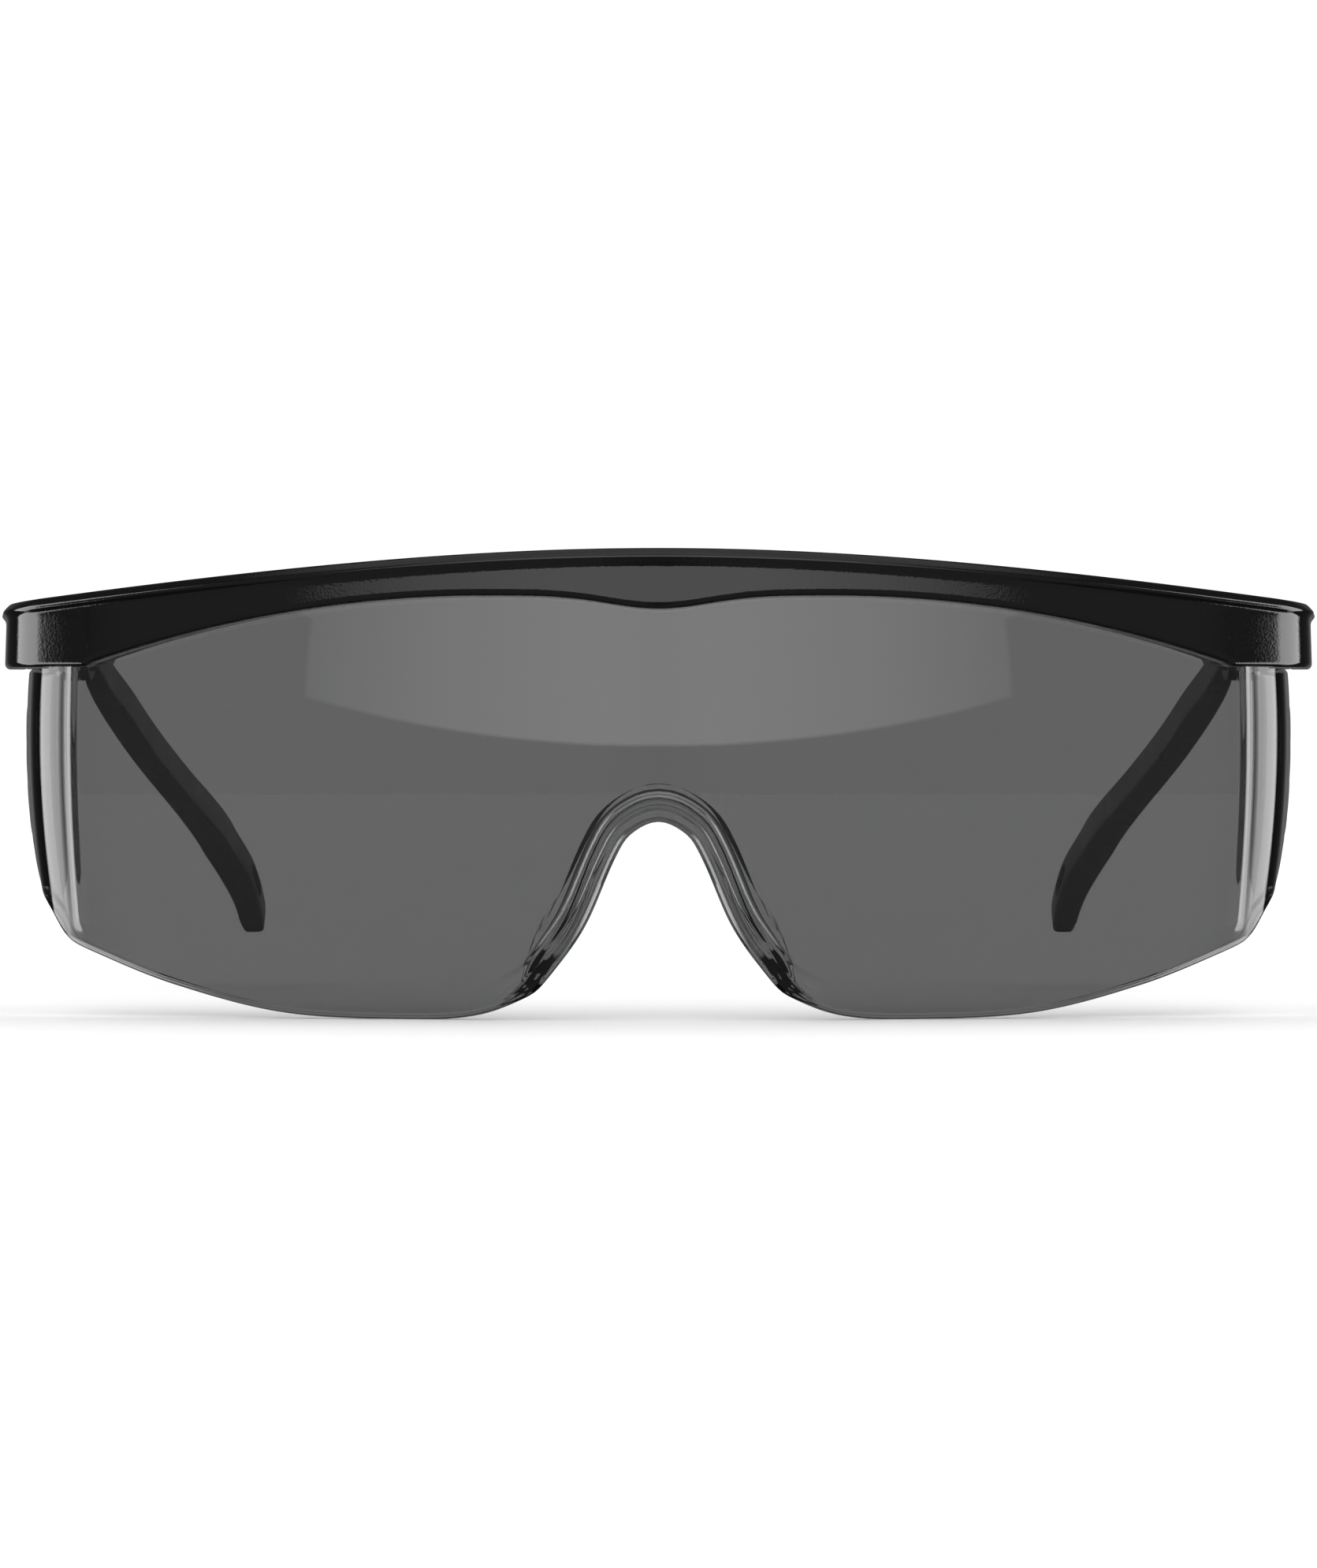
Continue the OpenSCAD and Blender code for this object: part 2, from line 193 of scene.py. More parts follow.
def finish_normals(obj, sharp_deg=35):
    obj.data.shade_smooth()
    obj.data.set_sharp_from_angle(angle=math.radians(sharp_deg))


# ---------------------------------------------------------------- lens

LENS_T = 2.2
FACE_R, CORNER_R, SIDE_R = 150.0, 7.3, 112.0
CORNER_X = 68.2
SHIELD_FLARE = math.radians(6)
SHIELD_LEN = 30.0
BULGE_Z = 32.0
BROW_PROUD = 0.9
SLOT_TAB = 3.0
FREE_Z = BLOCK_Z - 0.15
REAR_R = 5.0
SADDLE_D, SADDLE_WALL, SADDLE_FLARE = 7.0, 1.6, 1.3
SADDLE_RUN, SADDLE_FADE = 18, 12     # it keeps its depth this far along the edge, then fades out over this
NOSE_RIM = 0.26                      # height of the band moulded round the nose opening
RIM_BAND = (1.55, 3.35)              # and where it lies, as distances from the edge
EDGE_R, NOSE_R = 0.55, 1.5           # rounding of the lower edge, and of its front at the nose
TAB_END, TAB_RAMP = 70, 3            # the tab ends here along the face, and its end slopes over this
ROOT_DROP = 0.3                      # the tab starts this far below the brow bar's edge
BEAD_H, BEAD_W = 0.26, 0.42          # bead moulded beside each corner
BEAD_SHIFT, BEAD_FOOT_Z = 1.5, 9.6   # its distance inside the corner's start, and the height of its foot
RIB_SWING, RIB_PITCH = 0.09, 3.3     # grip ribs on the shields: half their height, and their spacing
RIB_MARGIN = 3                       # plain strip at each end of the ribs
RIB_LOW_Z, RIB_HIGH_Z = 14, 37.5
RIB_RISE = 0.25                      # slope at which their lower ends rise towards the rear

CORNER_A = math.asin(CORNER_X / FACE_R)
U_CORNER = FACE_R * CORNER_A
U_SIDE = U_CORNER + CORNER_R * (math.pi / 2 - SHIELD_FLARE - CORNER_A)
U_REAR = U_SIDE + SHIELD_LEN
LENS_LINE = PlanLine(FRONT_Y + BROW_PROUD,
                     [(U_CORNER, FACE_R), (U_SIDE - U_CORNER, CORNER_R), (SHIELD_LEN + 3, 0)], 0.4)
# Lower edge, as distance along the face and height, from the nose arch to the rear of the shield
LOWER_EDGE = [(0, 22.25), (3.2, 20.8), (4.9, 18.2), (8.5, 10.4), (12.7, 4.8), (15, 2.7), (21.6, 0.4),
              (31.5, 0), (45, 0.7), (58, 3.7), (67, 6.85), (72, 9.1), (75.5, 12.3), (80, 14.3),
              (90, 15.6), (98.5, 17.2), (U_REAR - 2.5, 20.7), (U_REAR, 27)]


EDGE_Z, EDGE_LEVEL, EDGE_FALL = 47.55, 20, 0.0036    # the brow bar's bottom edge is level, then falls away
DIP_H, DIP_W = 1.5, 8                # its dip over the nose
BLOCK_X = 64.8                       # the end block starts here
CROWN_W, CROWN_SLOPE = 50, 0.14      # half width over which the top edge is crowned, and its slope beyond


def brow_under(x):
    x = np.abs(x)
    edge = EDGE_Z - EDGE_FALL * np.maximum(0, x - EDGE_LEVEL) ** 2 - DIP_H * bell(x, DIP_W)
    return mix(edge, BLOCK_Z, ease((x - BLOCK_X) / 1.0))


def brow_over(x):
    return BROW_HIGH[2] - CROWN_SLOPE * (np.sqrt(CROWN_W**2 + x * x) - CROWN_W)


def bulge(z):
    return (z - BULGE_Z) ** 2 / (2 * SIDE_R)


def lens_relief(u, z):
    """How far the lens's outer face stands proud: the corner bead and the shield's grip ribs."""
    a = np.abs(u)
    bead = BEAD_H * bell(a - U_CORNER + BEAD_SHIFT, BEAD_W) * ease((z - BEAD_FOOT_Z) / 1.3)
    ribs = RIB_SWING * (1 + np.cos((a - U_SIDE) * 2 * np.pi / RIB_PITCH))
    ribs = ribs * ease((a - U_SIDE - RIB_MARGIN) / 2) * ease((U_REAR - RIB_MARGIN - a) / 2)
    ribs = ribs * ease((z - RIB_LOW_Z - (a - U_SIDE) * RIB_RISE) / 3) * ease((RIB_HIGH_Z - z) / 3)
    return bead + ribs


def on_lens(u, z, d, bulge_z):
    relief = lens_relief(u, z) * np.clip(1 - d / LENS_T, 0, 1)
    x, y = LENS_LINE.at(u, d + bulge(bulge_z) - relief)
    return np.stack([x, y, z + 0 * x], axis=-1)


def lens_columns():
    """Lengths along the lower edge, closer together at the nose, the corner and the shield's rear."""
    total = curve_length(LOWER_EDGE)
    fine = np.linspace(0, total, 4000)
    density = 1 + 0.8 * bell(fine - 12, 14) + 2.6 * bell(fine - 83, 8) + 3 * bell(fine - total, 5)
    count = np.concatenate([[0], np.cumsum((density[1:] + density[:-1]) / 2)])
    half = np.interp(np.linspace(0, count[-1], 190), count, fine)
    return half, total


def build_lens():
    s, total = lens_columns()
    b = curve(LOWER_EDGE, s)
    ahead, behind = curve(LOWER_EDGE, s + 0.05), curve(LOWER_EDGE, s - 0.05)
    along = (ahead - behind) / np.linalg.norm(ahead - behind, axis=1)[:, None]
    inward = np.stack([-along[:, 1], along[:, 0]], axis=1)
    ut = U_REAR * s / total
    under = brow_under(LENS_LINE.x_of(ut))
    leave = ease((ut - TAB_END) / TAB_RAMP)
    root_z = mix(under, FREE_Z, leave) - ROOT_DROP
    corner = np.clip(ut - U_REAR + REAR_R, 0, REAR_R)
    top_z = mix(under + SLOT_TAB, FREE_Z, leave) - REAR_R + np.sqrt(REAR_R**2 - corner**2)
    edge_r = 0.5
    root_z = np.minimum(root_z, top_z - edge_r - ROOT_DROP)
    root = np.stack([ut, root_z], axis=1)
    gap = np.linalg.norm(root - b, axis=1)[:, None]
    straight = (root - b) / gap
    rear = 1 - ease((U_REAR - b[:, 0]) / 40)[:, None]
    lean = mix(inward, straight, rear)
    lean /= np.linalg.norm(lean, axis=1)[:, None]
    reach = np.minimum(gap / 3, 7.5)
    near, far = b + lean * reach, root - np.stack([0 * s, gap[:, 0] / 3], axis=1)

    nose = 1 - ease((s - SADDLE_RUN) / SADDLE_FADE)
    t_wall = LENS_T
    front_r = mix(EDGE_R, NOSE_R, nose)
    end_r = mix(EDGE_R, SADDLE_WALL / 2, nose)
    deep, flare = SADDLE_D * nose, SADDLE_FLARE * nose
    foot = mix(0.8, SADDLE_FLARE + SADDLE_WALL + 1.4, nose)
    front_end = 1 - front_r / (3 * reach[:, 0])
    back_end = 1 - foot / (3 * reach[:, 0])

    def column(t):
        return bezier(root, far, near, b, t[:, None])

    rings = []                                          # each entry is (u, z, depth, height of bulge)

    def ring(uz, depth, bulge_at=None):
        rings.append((uz[:, 0], uz[:, 1], depth + 0 * s, uz[:, 1] if bulge_at is None else bulge_at))

    def top_point(down, depth):
        ring(np.stack([ut, top_z - down], axis=1), depth, root_z)

    def edge_point(a, depth):
        ring(b + lean * a[:, None], depth, b[:, 1])

    steps = 5
    for k in range(steps + 1):
        phi = math.pi / 2 * k / steps
        top_point(edge_r * (1 - math.sin(phi)), edge_r * (1 - math.cos(math.pi / 2 - phi)))
    spread = np.concatenate([np.linspace(0, 0.74, 40), np.linspace(0.75, 1, 36)])
    for f in spread:
        uz = column(f * front_end)
        from_edge = np.linalg.norm(uz - b, axis=1)
        band = -NOSE_RIM * nose * ease((from_edge - RIM_BAND[0]) / 0.4)
        ring(uz, band * ease((RIM_BAND[1] - from_edge) / 0.45))
    for k in range(1, 9):
        phi = math.pi / 2 * k / 8
        edge_point(front_r * (1 - math.sin(phi)), front_r * (1 - math.cos(phi)))
    for k in range(1, 11):
        f = k / 10
        edge_point(flare * f**1.5, mix(front_r, t_wall + deep - end_r, f))
    for k in range(1, 11):
        psi = mix(math.pi / 2, math.pi, nose) * k / 10
        edge_point(flare + end_r - end_r * np.cos(psi), t_wall + deep - end_r + end_r * np.sin(psi))
    last = mix(math.pi / 2, math.pi, nose)
    e_a, e_d = flare + end_r - end_r * np.cos(last), t_wall + deep - end_r + end_r * np.sin(last)
    e_len, f_len = mix(0.1, 0.55 * SADDLE_D, nose), mix(0.1, 2.0, nose)
    for k in range(1, 13):
        f = k / 12
        edge_point(bezier(e_a, e_a + np.sin(last) * e_len, foot - f_len, foot, f),
                   bezier(e_d, e_d + np.cos(last) * e_len, t_wall, t_wall, f))
    for f in spread[::-1]:
        ring(column(f * back_end), t_wall)
    for k in range(steps + 1):
        phi = math.pi / 2 * k / steps
        top_point(edge_r * (1 - math.cos(phi)), t_wall - edge_r * (1 - math.sin(phi)))

    u, z, d, zb = (np.array([r[i] for r in rings]).T for i in range(4))
    # Round off the rear edge of the shield with a few more columns
    caps = [math.radians(a) for a in (18, 36, 54, 70, 82)]
    for angle in caps:
        u = np.vstack([u, u[len(s) - 1] + LENS_T / 2 * math.sin(angle)])
        z = np.vstack([z, z[len(s) - 1]])
        d = np.vstack([d, LENS_T / 2 + (d[len(s) - 1] - LENS_T / 2) * math.cos(angle)])
        zb = np.vstack([zb, zb[len(s) - 1]])
    left = on_lens(u, z, d, zb)
    right = (left * (-1, 1, 1))[:0:-1]
    points = np.concatenate([right, left])
    columns, n = points.shape[0], points.shape[1]
    return make_object("lens_shell", points.reshape(-1, 3), skin_faces(columns, n), 50)


# ---------------------------------------------------------------- brow bar

BAR_X, BAR_CORNER_R, BAR_SIDE = 70.9, 8.5, math.radians(84)
BAR_R = FACE_R + BROW_PROUD
ARM_END = HINGE[1] + 2.6
BAR_DEPTH = 6.3
LUG_R = 2.9
LUG_GAP = (BLOCK_Z + 1.9, BLOCK_Z + 6.1)
WALL_X = HINGE[0] + LUG_R + 0.1
BAR_FACE = 0.3                       # the main face stands this far behind the CAD's front line
BAR_BEAD = 0.5                       # and the bead along the top edge this far proud of that face
BAR_LEAN = 0.032                     # slope at which the face leans back
BAR_A = math.asin(BAR_X / BAR_R)
BAR_TURN_Y = FRONT_Y + BAR_R * (1 - math.cos(BAR_A)) + BAR_CORNER_R * (math.cos(BAR_A) - math.cos(BAR_SIDE))
BAR_FRONT, BAR_BEND = BAR_R * BAR_A, BAR_CORNER_R * (BAR_SIDE - BAR_A)    # lengths of the front and a corner
BAR_LINE = PlanLine(FRONT_Y, [(BAR_FRONT, BAR_R), (BAR_BEND, BAR_CORNER_R), (20, 0)], 0.35)
BAR_LEN = BAR_FRONT + BAR_BEND + (ARM_END - BAR_TURN_Y) / math.sin(BAR_SIDE)


def bar_section(height, depth):
    """Outline of the bar as depth behind its front line and distance below its top edge, from the top back
    corner forwards, down the front and back along the underside."""
    rim_r, top_r, back_r = 0.5, 0.55, 0.6               # rounding of the top back, top front and lower back
    lip_in, lip_h = 0.65, 0.7                           # and of the lower front, as depth and height
    bead_y, bead_w = 1.0, 0.5
    points = [(depth - rim_r, 0.0)]
    for a in np.linspace(0, 90, 7):
        r = math.radians(a)
        points.append((BAR_FACE + top_r * (1 - math.sin(r)), top_r * (1 - math.cos(r))))
    front = np.concatenate([np.linspace(top_r + 0.08, 2.6, 22), np.linspace(2.9, height - 0.75, 14)])
    points += [(BAR_FACE, f) for f in front]
    points = [(x - BAR_BEAD * float(bell(y - bead_y, bead_w)) * float(ease(y / bead_w)), y) for x, y in points]
    for a in np.linspace(0, 90, 9)[1:]:
        r = math.radians(a)
        points.append((BAR_FACE + lip_in * (1 - math.cos(r)), height - lip_h + lip_h * math.sin(r)))
    points = [(x + BAR_LEAN * (height - y) * float(ease((2.5 - x) / 1.5)), y) for x, y in points]
    for a in np.linspace(0, 90, 6):
        r = math.radians(a)
        points.append((depth - back_r * (1 - math.sin(r)), height - back_r * (1 - math.cos(r))))
    points += [(depth, f) for f in np.linspace(height - 1.2, 1.2, 8)]
    for a in np.linspace(0, 90, 5)[:-1]:
        r = math.radians(a)
        points.append((depth - rim_r * (1 - math.cos(r)), rim_r * (1 - math.sin(r))))
    return np.array(points)


def build_bar():
    arm_depth = 3.1
    arm_from, arm_ramp = 74, 6                          # the bar thins to an arm from here, over this length
    cap_r = 0.6
    u = np.concatenate([np.linspace(0, 62, 125), np.linspace(62.4, BAR_LEN - cap_r, 110)])
    caps = [math.radians(a) for a in (0, 20, 40, 60, 80)]
    rings = []
    for i, ui in enumerate(list(u) + [BAR_LEN - cap_r + cap_r * math.sin(a) for a in caps[1:]]):
        x = float(BAR_LINE.x_of(ui))
        over, under = float(brow_over(x)), float(brow_under(x))
        depth = BAR_DEPTH + (arm_depth - BAR_DEPTH) * float(ease((ui - arm_from) / arm_ramp))
        section = bar_section(over - under, depth)
        if i >= len(u):
            squeeze = math.cos(caps[i - len(u) + 1])
            middle = np.array([(BAR_FACE + depth) / 2, (over - under) / 2])
            half = np.array([(depth - BAR_FACE) / 2, (over - under) / 2])
            section = middle + (section - middle) * (1 - cap_r * (1 - squeeze) / half)
        bx, by = BAR_LINE.at(np.full(len(section), ui) + (1e-9 if i == 0 else 0), section[:, 0])
        rings.append(np.stack([bx, by, over - section[:, 1]], axis=1))
    left = np.array(rings)
    left[0, :, 0] = 0
    right = (left * (-1, 1, 1))[:0:-1]
    points = np.concatenate([right, left])
    columns, n = points.shape[:2]
    return make_object("brow_shell", points.reshape(-1, 3), skin_faces(columns, n), 35)


def prism(name, outline, low, high, rim=0.35):
    """Upright slab with rounded rims over an outline given as points in plan; low and high may vary with x."""
    outline = np.array(outline, float)
    ahead, behind = np.roll(outline, -1, axis=0), np.roll(outline, 1, axis=0)
    tangent = (ahead - behind) / np.linalg.norm(ahead - behind, axis=1)[:, None]
    inwards = np.stack([-tangent[:, 1], tangent[:, 0]], axis=1)
    rings = []
    for a in np.linspace(0, 90, 5):
        r = math.radians(a)
        inset = outline + inwards * rim * (1 - math.sin(r))
        rings.append(np.column_stack([inset, low(inset[:, 0]) + rim * (1 - math.cos(r))]))
    for a in np.linspace(90, 0, 5):
        r = math.radians(a)
        inset = outline + inwards * rim * (1 - math.sin(r))
        rings.append(np.column_stack([inset, high(inset[:, 0]) - rim * (1 - math.cos(r))]))
    return make_object(name, np.concatenate(rings), skin_faces(len(rings), len(outline)))


def arc(centre, radius, start, end, count):
    return [(centre[0] + radius * math.cos(math.radians(a)), centre[1] + radius * math.sin(math.radians(a)))
            for a in np.linspace(start, end, count)]


def end_block(mirrored):
    """The thick end of the brow bar: a block behind its corner with the two hinge lugs."""
    sign = -1 if mirrored else 1
    inner_x = HINGE[0] - LUG_R
    hinge = (HINGE[0], HINGE[1])
    outline = [(WALL_X + 1.5, FRONT_Y + 24), (WALL_X + 1.5, HINGE[1] + 0.5), (WALL_X, HINGE[1] + 0.3)] \
        + arc(hinge, LUG_R, 5, 180, 22) \
        + [(inner_x, HINGE[1] - 3.5)] + arc((inner_x - 1.5, FRONT_Y + 28.5), 1.5, 0, -33, 4) \
        + [(62.0, FRONT_Y + 20.5), (62.5, FRONT_Y + 16.5), (68, FRONT_Y + 18.5), (71.5, FRONT_Y + 21.0)]
    if mirrored:
        outline = [(-x, y) for x, y in outline[::-1]]
    block = prism("block", outline, brow_under, lambda x: brow_over(x) - 0.25)
    low, high = LUG_GAP
    x0, x1, y0, y1 = WALL_X - 14, WALL_X, HINGE[1] - LUG_R - 0.1, HINGE[1] + 20
    corners = [(sign * x, y, z) for z in (low, high) for x, y in ((x0, y0), (x1, y0), (x1, y1), (x0, y1))]
    faces = [(3, 2, 1, 0), (4, 5, 6, 7), (0, 1, 5, 4), (1, 2, 6, 5), (2, 3, 7, 6), (3, 0, 4, 7)]
    apply_boolean(block, make_object("gap", corners, faces), "DIFFERENCE")
    return block


def build_brow():
    bar = build_bar()
    for mirrored in (False, True):
        apply_boolean(bar, end_block(mirrored), "UNION")
    finish_normals(bar)
    return bar


# ---------------------------------------------------------------- temples

EYE_R = 3.3
EYE_IN, EYE_OUT = -2.1, -0.25
BORE_R = 1.05
BAR_H = 3.7
BAR_MID = -1.15
TEMPLE_END = 122.4
TEMPLE_LINE = [(TILT_REACH, TILT[2]), (20, 39.6), (45, 33.3), (70, 27.1), (91.5, 21.9), (101, 19.2),
               (109, 16.1), (115.5, 12.4), (TEMPLE_END - 1.2, 8.1)]
CORD_AT, CORD_R, CORD_LEN, CORD_TILT = (113.2, 13.9), 0.9, 5.0, math.radians(-32)


def to_row(points, mirrored):
    """From a hinge's own frame (X sideways, Y along the temple from the fold axis) to the row frame."""
    p = np.asarray(points, float)
    c, s = math.cos(TOE_IN), math.sin(TOE_IN)
    x = HINGE[0] + p[..., 0] * c - p[..., 1] * s
    y = HINGE[1] + p[..., 0] * s + p[..., 1] * c
    return np.stack([x, y, p[..., 2]], -1) * ((-1, 1, 1) if mirrored else (1, 1, 1))


def rounded_box_ring(w, h, r, per_corner=6):
    """Points of a rounded rectangle, w by h half sizes."""
    points = []
    for cx, cz, start in ((1, 1, 0), (-1, 1, 90), (-1, -1, 180), (1, -1, 270)):
        for a in np.linspace(start, start + 90, per_corner):
            t = math.radians(a)
            points.append((cx * (w - r) + r * math.cos(t), cz * (h - r) + r * math.sin(t)))
    return np.array(points)


def bar_width(y):
    return 2.5 + 1.1 * ease((y - 12) / 25) + 0.6 * ease((y - 70) / 30) - 0.9 * ease((y - 109) / 11)


def bar_middle(y):
    return BAR_MID + 0.5 * ease((y - 11) / 16) - 1.4 * ease((y - 45) / 58) - 1.5 * ease((y - 100) / 20)


def build_temple_bar(name, mirrored):
    total = curve_length(TEMPLE_LINE)
    start = 4.0
    tip_r = 0.5
    plain = 180                                         # rings before the rounded tip
    caps = np.radians([25, 50, 70, 84])
    s = np.concatenate([np.linspace(start, total - tip_r, plain), total - tip_r + tip_r * np.sin(caps)])
    middle = curve(TEMPLE_LINE, s)
    along = curve(TEMPLE_LINE, s + 0.1) - curve(TEMPLE_LINE, s - 0.1)
    along /= np.linalg.norm(along, axis=1)[:, None]
    rings = []
    for i, (p, d) in enumerate(zip(middle, along)):
        w, h = float(bar_width(p[0])) / 2, BAR_H / 2
        grow = float(ease((s[i] - start) / 8))
        w, h = mix(min(w, (EYE_OUT - EYE_IN) / 2 + 0.15), w, grow), mix(h * 0.86, h, grow)
        tip = float(ease((s[i] - total + 3) / 3))
        w, h = w * (1 - 0.16 * tip), h * (1 - 0.06 * tip)
        if i >= plain:
            loss = tip_r * (1 - math.cos(caps[i - plain]))
            w, h = w - loss, h - loss
        ring = rounded_box_ring(w, h, min(0.75, 0.45 + 0.2 * float(ease((p[0] - 90) / 25))))
        cx = float(bar_middle(p[0]))
        rings.append(np.column_stack([cx + ring[:, 0], p[0] - d[1] * ring[:, 1], p[1] + d[0] * ring[:, 1]]))
    faces = skin_faces(len(rings), len(rings[0]))
    return make_object(name, to_row(np.concatenate(rings), mirrored), faces, 45)


def disc(name, radius, x0, x1, mirrored, rim=0.25, count=64, centre=None):
    """A disc across the temple, with rounded rims, centred on the tilt axis unless told otherwise."""
    cy, cz = centre or (TILT_REACH, TILT[2])
    rings = []
    for a in np.linspace(0, 90, 5):
        t = math.radians(a)
        rings.append((radius - rim * (1 - math.sin(t)), x0 + rim * (1 - math.cos(t))))
    for a in np.linspace(90, 0, 5):
        t = math.radians(a)
        rings.append((radius - rim * (1 - math.sin(t)), x1 - rim * (1 - math.cos(t))))
    turn = np.linspace(0, 2 * math.pi, count, endpoint=False)
    points = np.concatenate([np.column_stack([np.full(count, x), cy + r * np.cos(turn), cz + r * np.sin(turn)])
                             for r, x in rings])
    return make_object(name, to_row(points, mirrored), skin_faces(len(rings), count), 40)


def cord_cutter(mirrored):
    """A rounded-end bar that cuts the cord slot."""
    outline = [(math.cos(math.radians(a)) * CORD_R, CORD_LEN / 2 + math.sin(math.radians(a)) * CORD_R)
               for a in np.linspace(0, 180, 13)]
    outline += [(-x, -y) for x, y in outline]
    c, s = math.cos(CORD_TILT), math.sin(CORD_TILT)
    ring = np.array([(CORD_AT[0] + y * c + x * s, CORD_AT[1] + y * s - x * c) for x, y in outline])
    n = len(ring)
    points = np.concatenate([np.column_stack([np.full(n, x), ring]) for x in (-9.0, 9.0)])
    return make_object("cord_cutter", to_row(points, mirrored), skin_faces(2, n))


def build_temple(side):
    mirrored = side == "right"
    temple = build_temple_bar(side + "_temple_arm", mirrored)
    apply_boolean(temple, disc("eye", EYE_R, EYE_IN, EYE_OUT, mirrored), "UNION")
    apply_boolean(temple, disc("bore", BORE_R, EYE_IN - 1, EYE_OUT + 1, mirrored, 0.1, 40), "DIFFERENCE")
    apply_boolean(temple, cord_cutter(mirrored), "DIFFERENCE")
    finish_normals(temple)
    return temple


# ---------------------------------------------------------------- materials

def new_material(name):
    material = bpy.data.materials.new(name)
    material.use_nodes = True
    return material, material.node_tree.nodes, material.node_tree.links


def object_noise(nodes, links, scale, detail=3.0, rough=0.5):
    """Noise texture over object coordinates, so it has one scale on every piece; scale is per metre."""
    where = nodes.new("ShaderNodeTexCoord")
    noise = nodes.new("ShaderNodeTexNoise")
    noise.inputs["Scale"].default_value = scale
    noise.inputs["Detail"].default_value = detail
    noise.inputs["Roughness"].default_value = rough
    links.new(where.outputs["Object"], noise.inputs["Vector"])
    return noise


def map_range(nodes, links, value, low, high, from_low=0.3, from_high=0.7):
    node = nodes.new("ShaderNodeMapRange")
    node.inputs["From Min"].default_value = from_low
    node.inputs["From Max"].default_value = from_high
    node.inputs["To Min"].default_value = low
    node.inputs["To Max"].default_value = high
    links.new(value, node.inputs["Value"])
    return node.outputs["Result"]


def nylon(name, colour, rough_low, rough_high, grain_scale=3200, grain=0.05):
    """Black moulded nylon: a fine even grain from the mould, and slow changes in gloss."""
    material, nodes, links = new_material(name)
    shader = nodes["Principled BSDF"]
    shader.inputs["IOR"].default_value = 1.53
    slow = object_noise(nodes, links, 90, 2)
    links.new(map_range(nodes, links, slow.outputs["Fac"], rough_low, rough_high), shader.inputs["Roughness"])
    ramp = nodes.new("ShaderNodeMix")
    ramp.data_type = "RGBA"
    ramp.inputs["A"].default_value = (*colour, 1)
    ramp.inputs["B"].default_value = (*[c * 1.35 for c in colour], 1)
    links.new(slow.outputs["Fac"], ramp.inputs["Factor"])
    links.new(ramp.outputs["Result"], shader.inputs["Base Color"])
    fine = object_noise(nodes, links, grain_scale, 2)
    bump = nodes.new("ShaderNodeBump")
    bump.inputs["Strength"].default_value = grain
    bump.inputs["Distance"].default_value = 0.0002
    links.new(fine.outputs["Fac"], bump.inputs["Height"])
    links.new(bump.outputs["Normal"], shader.inputs["Normal"])
    return material


def metal(name, colour, roughness):
    material, nodes, links = new_material(name)
    shader = nodes["Principled BSDF"]
    shader.inputs["Metallic"].default_value = 1
    shader.inputs["Base Color"].default_value = (*colour, 1)
    fine = object_noise(nodes, links, 2500, 4)
    links.new(map_range(nodes, links, fine.outputs["Fac"], roughness * 0.7, roughness * 1.4),
              shader.inputs["Roughness"])
    return material


def polycarbonate(name, tint):
    """Grey-tinted clear polycarbonate with a hard coat. Shadow rays pass straight through it, dimmed."""
    material, nodes, links = new_material(name)
    shader = nodes["Principled BSDF"]
    shader.inputs["Base Color"].default_value = (*tint, 1)
    shader.inputs["Transmission Weight"].default_value = 1
    shader.inputs["IOR"].default_value = 1.586
    slow = object_noise(nodes, links, 60, 3)
    links.new(map_range(nodes, links, slow.outputs["Fac"], 0.0, 0.02), shader.inputs["Roughness"])
    clear = nodes.new("ShaderNodeBsdfTransparent")
    clear.inputs["Color"].default_value = (0.6, 0.6, 0.61, 1)
    path = nodes.new("ShaderNodeLightPath")
    blend = nodes.new("ShaderNodeMixShader")
    links.new(path.outputs["Is Shadow Ray"], blend.inputs["Fac"])
    links.new(shader.outputs["BSDF"], blend.inputs[1])
    links.new(clear.outputs["BSDF"], blend.inputs[2])
    links.new(blend.outputs["Shader"], nodes["Material Output"].inputs["Surface"])
    return material


MATERIALS = {
    "lens_polycarbonate": polycarbonate("lens_polycarbonate", (0.1125, 0.1132, 0.1155)),
    "brow_nylon": nylon("brow_nylon", (0.004, 0.004, 0.0045), 0.03, 0.07),
    "temple_nylon": nylon("temple_nylon", (0.018, 0.018, 0.019), 0.24, 0.34),
    "hinge_steel": metal("hinge_steel", (0.62, 0.62, 0.63), 0.28),
    "nut_brass": metal("nut_brass", (0.78, 0.60, 0.30), 0.32),
}


def dress(obj, slot):
    obj.data.materials.clear()
    obj.data.materials.append(MATERIALS[slot])


# ---------------------------------------------------------------- assembly

lens = build_lens()
dress(lens, "lens_polycarbonate")
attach(lens, "front")
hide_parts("lens")

brow = build_brow()
dress(brow, "brow_nylon")
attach(brow, "front")
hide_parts("brow_bar")

for side in ("left", "right"):
    temple = build_temple(side)
    dress(temple, "temple_nylon")
    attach(temple, side + "_arm")
    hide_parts(side + "_temple")

HARDWARE = {"hinge_pin": "hinge_steel", "hinge_link": "temple_nylon", "tilt_screw": "hinge_steel",
            "spring_washer": "hinge_steel", "tilt_nut": "nut_brass"}
for side in ("left", "right"):
    for part, slot in HARDWARE.items():
        node = frame["nodes"][side + "_" + part]
        dress(node, slot)
        bevel = node.modifiers.new("edge", "BEVEL")
        bevel.width = 0.0001
        bevel.segments = 2
        bevel.limit_method = "ANGLE"


# ---------------------------------------------------------------- studio

